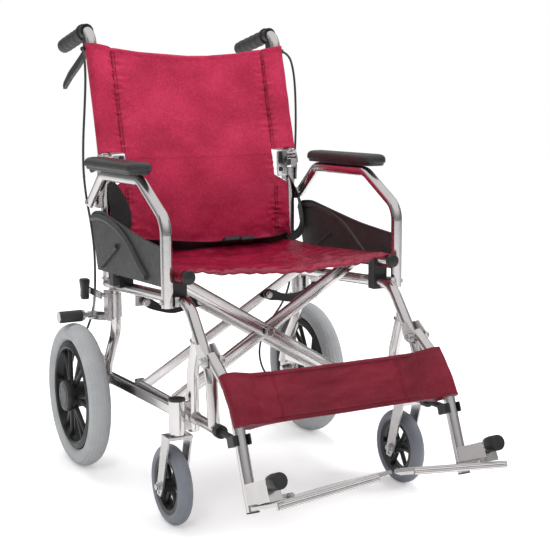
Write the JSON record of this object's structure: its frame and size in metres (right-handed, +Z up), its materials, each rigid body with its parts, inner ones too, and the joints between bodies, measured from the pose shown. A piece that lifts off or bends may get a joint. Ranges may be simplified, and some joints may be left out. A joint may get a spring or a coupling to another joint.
{
  "type": "manual wheelchair",
  "caption": "Folding transit wheelchair with a polished aluminium frame, burgundy nylon seat and back, and a calf strap.",
  "frame": {"origin": "on the floor, under the centre of the bounding box, on the chair's middle plane", "axes": "+X to the seated person's left side as they face -Y, -Y is the way the chair faces, +Z up"},
  "size_m": [0.628, 1.0233, 0.9349],
  "materials": {
    "polished_aluminium": "polished",
    "cast_aluminium": "satin",
    "bright_steel": "satin",
    "black_plastic": "matte",
    "black_rubber": "matte",
    "grey_tyre": "matte",
    "grey_caster_tyre": "matte",
    "burgundy_nylon": "satin",
    "black_webbing": "matte"
  },
  "bodies": {
    "frame_right": {"side_tube_right": "polished_aluminium", "rear_cane_right": "polished_aluminium", "rear_upright_right": "polished_aluminium", "lower_frame_right": "polished_aluminium", "side_brackets_right": "cast_aluminium", "plastic_fittings_right": "black_plastic", "armrest_tube_right": "polished_aluminium", "armrest_pad_right": "black_rubber", "side_guard_right": "black_plastic", "hub_brake_right": "bright_steel", "brake_cable_right": "black_rubber", "back_lower": "burgundy_nylon"},
    "wheel_right": {"rear_tyre_right": "grey_tyre", "rear_wheel_right": "black_plastic"},
    "caster_swivel_right": {"caster_fork_right": "cast_aluminium"},
    "caster_roll_right": {"caster_tyre_right": "grey_caster_tyre", "caster_wheel_right": "black_plastic"},
    "hanger_right": {"hanger_tube_right": "polished_aluminium", "calf_strap": "burgundy_nylon"},
    "foot_right": {"footplate_right": "cast_aluminium"},
    "park_handle_right": {"park_brake_lever_right": "bright_steel"},
    "park_shoe_right": {"park_brake_shoe_right": "bright_steel"},
    "back_right": {"back_cane_right": "polished_aluminium", "push_grip_right": "black_rubber", "brake_perch_right": "black_plastic", "back_upper": "burgundy_nylon"},
    "lever_right": {"brake_lever_right": "black_plastic"},
    "release_right": {"back_release_right": "black_plastic"},
    "link_right": {"link_arm_right": "black_plastic"},
    "frame_left": {"side_tube_left": "polished_aluminium", "rear_cane_left": "polished_aluminium", "rear_upright_left": "polished_aluminium", "lower_frame_left": "polished_aluminium", "side_brackets_left": "cast_aluminium", "plastic_fittings_left": "black_plastic", "armrest_tube_left": "polished_aluminium", "armrest_pad_left": "black_rubber", "side_guard_left": "black_plastic", "hub_brake_left": "bright_steel", "brake_cable_left": "black_rubber"},
    "wheel_left": {"rear_tyre_left": "grey_tyre", "rear_wheel_left": "black_plastic"},
    "caster_swivel_left": {"caster_fork_left": "cast_aluminium"},
    "caster_roll_left": {"caster_tyre_left": "grey_caster_tyre", "caster_wheel_left": "black_plastic"},
    "hanger_left": {"hanger_tube_left": "polished_aluminium"},
    "foot_left": {"footplate_left": "cast_aluminium"},
    "park_handle_left": {"park_brake_lever_left": "bright_steel"},
    "park_shoe_left": {"park_brake_shoe_left": "bright_steel"},
    "back_left": {"back_cane_left": "polished_aluminium", "push_grip_left": "black_rubber", "brake_perch_left": "black_plastic"},
    "lever_left": {"brake_lever_left": "black_plastic"},
    "release_left": {"back_release_left": "black_plastic"},
    "link_left": {"link_arm_left": "black_plastic"},
    "brace_a": {"brace_a": "polished_aluminium"},
    "brace_b": {"brace_b": "polished_aluminium"},
    "seat": {"seat_sling": "burgundy_nylon", "lap_belt": "black_webbing"}
  },
  "joints": [
    {"name": "fold", "type": "hinge", "parent": "frame_right", "child": "brace_a", "pos_m": [0.2, 0.04, 0.198], "axis": [0, 1, 0], "range_deg": [0, 45], "deforming": ["seat_sling", "back_upper", "back_lower", "calf_strap", "lap_belt"]},
    {"name": "brace_cross", "type": "hinge", "parent": "brace_a", "child": "brace_b", "pos_m": [0, 0.04, 0.32], "axis": [0, 1, 0], "range_deg": [-90, 0]},
    {"name": "frame_left_pivot", "type": "hinge", "parent": "brace_b", "child": "frame_left", "pos_m": [-0.2, 0.04, 0.198], "axis": [0, 1, 0], "range_deg": [0, 45]},
    {"name": "seat_rise", "type": "slide", "parent": "frame_right", "child": "seat", "axis": [0, 0, 1], "range_m": [0, 0.2196]},
    {"name": "link_right", "type": "hinge", "parent": "frame_right", "child": "link_right", "pos_m": [0.198, 0.107, 0.374], "axis": [0, 1, 0], "range_deg": [0, 81]},
    {"name": "wheel_right", "type": "hinge", "parent": "frame_right", "child": "wheel_right", "pos_m": [0.279, 0.297, 0.1525], "axis": [1, 0, 0], "continuous": true},
    {"name": "caster_swivel_right", "type": "hinge", "parent": "frame_right", "child": "caster_swivel_right", "pos_m": [0.252, -0.171, 0.21], "axis": [0, 0, 1], "continuous": true},
    {"name": "caster_roll_right", "type": "hinge", "parent": "caster_swivel_right", "child": "caster_roll_right", "pos_m": [0.252, -0.141, 0.075], "axis": [1, 0, 0], "continuous": true},
    {"name": "hanger_right", "type": "hinge", "parent": "frame_right", "child": "hanger_right", "pos_m": [0.217, -0.249, 0.325], "axis": [-1, 0, 0], "range_deg": [0, 60]},
    {"name": "footplate_right", "type": "hinge", "parent": "hanger_right", "child": "foot_right", "pos_m": [0.19, -0.45176, 0.1341], "axis": [0, 0.932, -0.3626], "range_deg": [0, 108]},
    {"name": "park_handle_right", "type": "hinge", "parent": "frame_right", "child": "park_handle_right", "pos_m": [0.252, 0.222, 0.376], "axis": [1, 0, 0], "range_deg": [0, 45]},
    {"name": "park_shoe_right", "type": "hinge", "parent": "frame_right", "child": "park_shoe_right", "pos_m": [0.246, 0.217, 0.331], "axis": [-1, 0, 0], "range_deg": [0, 2]},
    {"name": "back_right", "type": "hinge", "parent": "frame_right", "child": "back_right", "pos_m": [0.218, 0.262, 0.652], "axis": [-1, 0, 0], "range_deg": [0, 115], "deforming": ["brake_cable_right"]},
    {"name": "brake_lever_right", "type": "hinge", "parent": "back_right", "child": "lever_right", "pos_m": [0.218, 0.35, 0.884], "axis": [1, 0, 0], "range_deg": [0, 18], "stiffness_Nm_per_rad": 1.2, "springref_deg": -20.05},
    {"name": "back_release_right", "type": "hinge", "parent": "frame_right", "child": "release_right", "pos_m": [0.235, 0.265, 0.639], "axis": [-1, 0, 0], "range_deg": [0, 12], "stiffness_Nm_per_rad": 0.6, "springref_deg": -17.19},
    {"name": "link_left", "type": "hinge", "parent": "frame_left", "child": "link_left", "pos_m": [-0.198, 0.107, 0.374], "axis": [0, -1, 0], "range_deg": [0, 81]},
    {"name": "wheel_left", "type": "hinge", "parent": "frame_left", "child": "wheel_left", "pos_m": [-0.279, 0.297, 0.1525], "axis": [1, 0, 0], "continuous": true},
    {"name": "caster_swivel_left", "type": "hinge", "parent": "frame_left", "child": "caster_swivel_left", "pos_m": [-0.252, -0.171, 0.21], "axis": [0, 0, 1], "continuous": true},
    {"name": "caster_roll_left", "type": "hinge", "parent": "caster_swivel_left", "child": "caster_roll_left", "pos_m": [-0.252, -0.141, 0.075], "axis": [1, 0, 0], "continuous": true},
    {"name": "hanger_left", "type": "hinge", "parent": "frame_left", "child": "hanger_left", "pos_m": [-0.217, -0.249, 0.325], "axis": [-1, 0, 0], "range_deg": [0, 60]},
    {"name": "footplate_left", "type": "hinge", "parent": "hanger_left", "child": "foot_left", "pos_m": [-0.19, -0.45176, 0.1341], "axis": [0, -0.932, 0.3626], "range_deg": [0, 108]},
    {"name": "park_handle_left", "type": "hinge", "parent": "frame_left", "child": "park_handle_left", "pos_m": [-0.252, 0.222, 0.376], "axis": [1, 0, 0], "range_deg": [0, 45]},
    {"name": "park_shoe_left", "type": "hinge", "parent": "frame_left", "child": "park_shoe_left", "pos_m": [-0.246, 0.217, 0.331], "axis": [-1, 0, 0], "range_deg": [0, 2]},
    {"name": "back_left", "type": "hinge", "parent": "frame_left", "child": "back_left", "pos_m": [-0.218, 0.262, 0.652], "axis": [-1, 0, 0], "range_deg": [0, 115], "deforming": ["brake_cable_left"]},
    {"name": "brake_lever_left", "type": "hinge", "parent": "back_left", "child": "lever_left", "pos_m": [-0.218, 0.35, 0.884], "axis": [1, 0, 0], "range_deg": [0, 18], "stiffness_Nm_per_rad": 1.2, "springref_deg": -20.05},
    {"name": "back_release_left", "type": "hinge", "parent": "frame_left", "child": "release_left", "pos_m": [-0.235, 0.265, 0.639], "axis": [-1, 0, 0], "range_deg": [0, 12], "stiffness_Nm_per_rad": 0.6, "springref_deg": -17.19}
  ],
  "couplings": [
    {"joint": "brace_cross", "follows": "fold", "ratio": -2},
    {"joint": "frame_left_pivot", "follows": "fold", "ratio": 1},
    {"joint": "seat_rise", "follows": "fold", "m_per_rad": 0.2796},
    {"joint": "link_right", "follows": "fold", "ratio": 1.8},
    {"joint": "footplate_right", "follows": "fold", "ratio": 2.4},
    {"joint": "park_shoe_right", "follows": "park_handle_right", "ratio": 0.04},
    {"joint": "link_left", "follows": "fold", "ratio": 1.8},
    {"joint": "footplate_left", "follows": "fold", "ratio": 2.4},
    {"joint": "park_shoe_left", "follows": "park_handle_left", "ratio": 0.04},
    {"joint": "hanger_left", "follows": "hanger_right", "ratio": 1},
    {"joint": "back_left", "follows": "back_right", "ratio": 1}
  ]
}
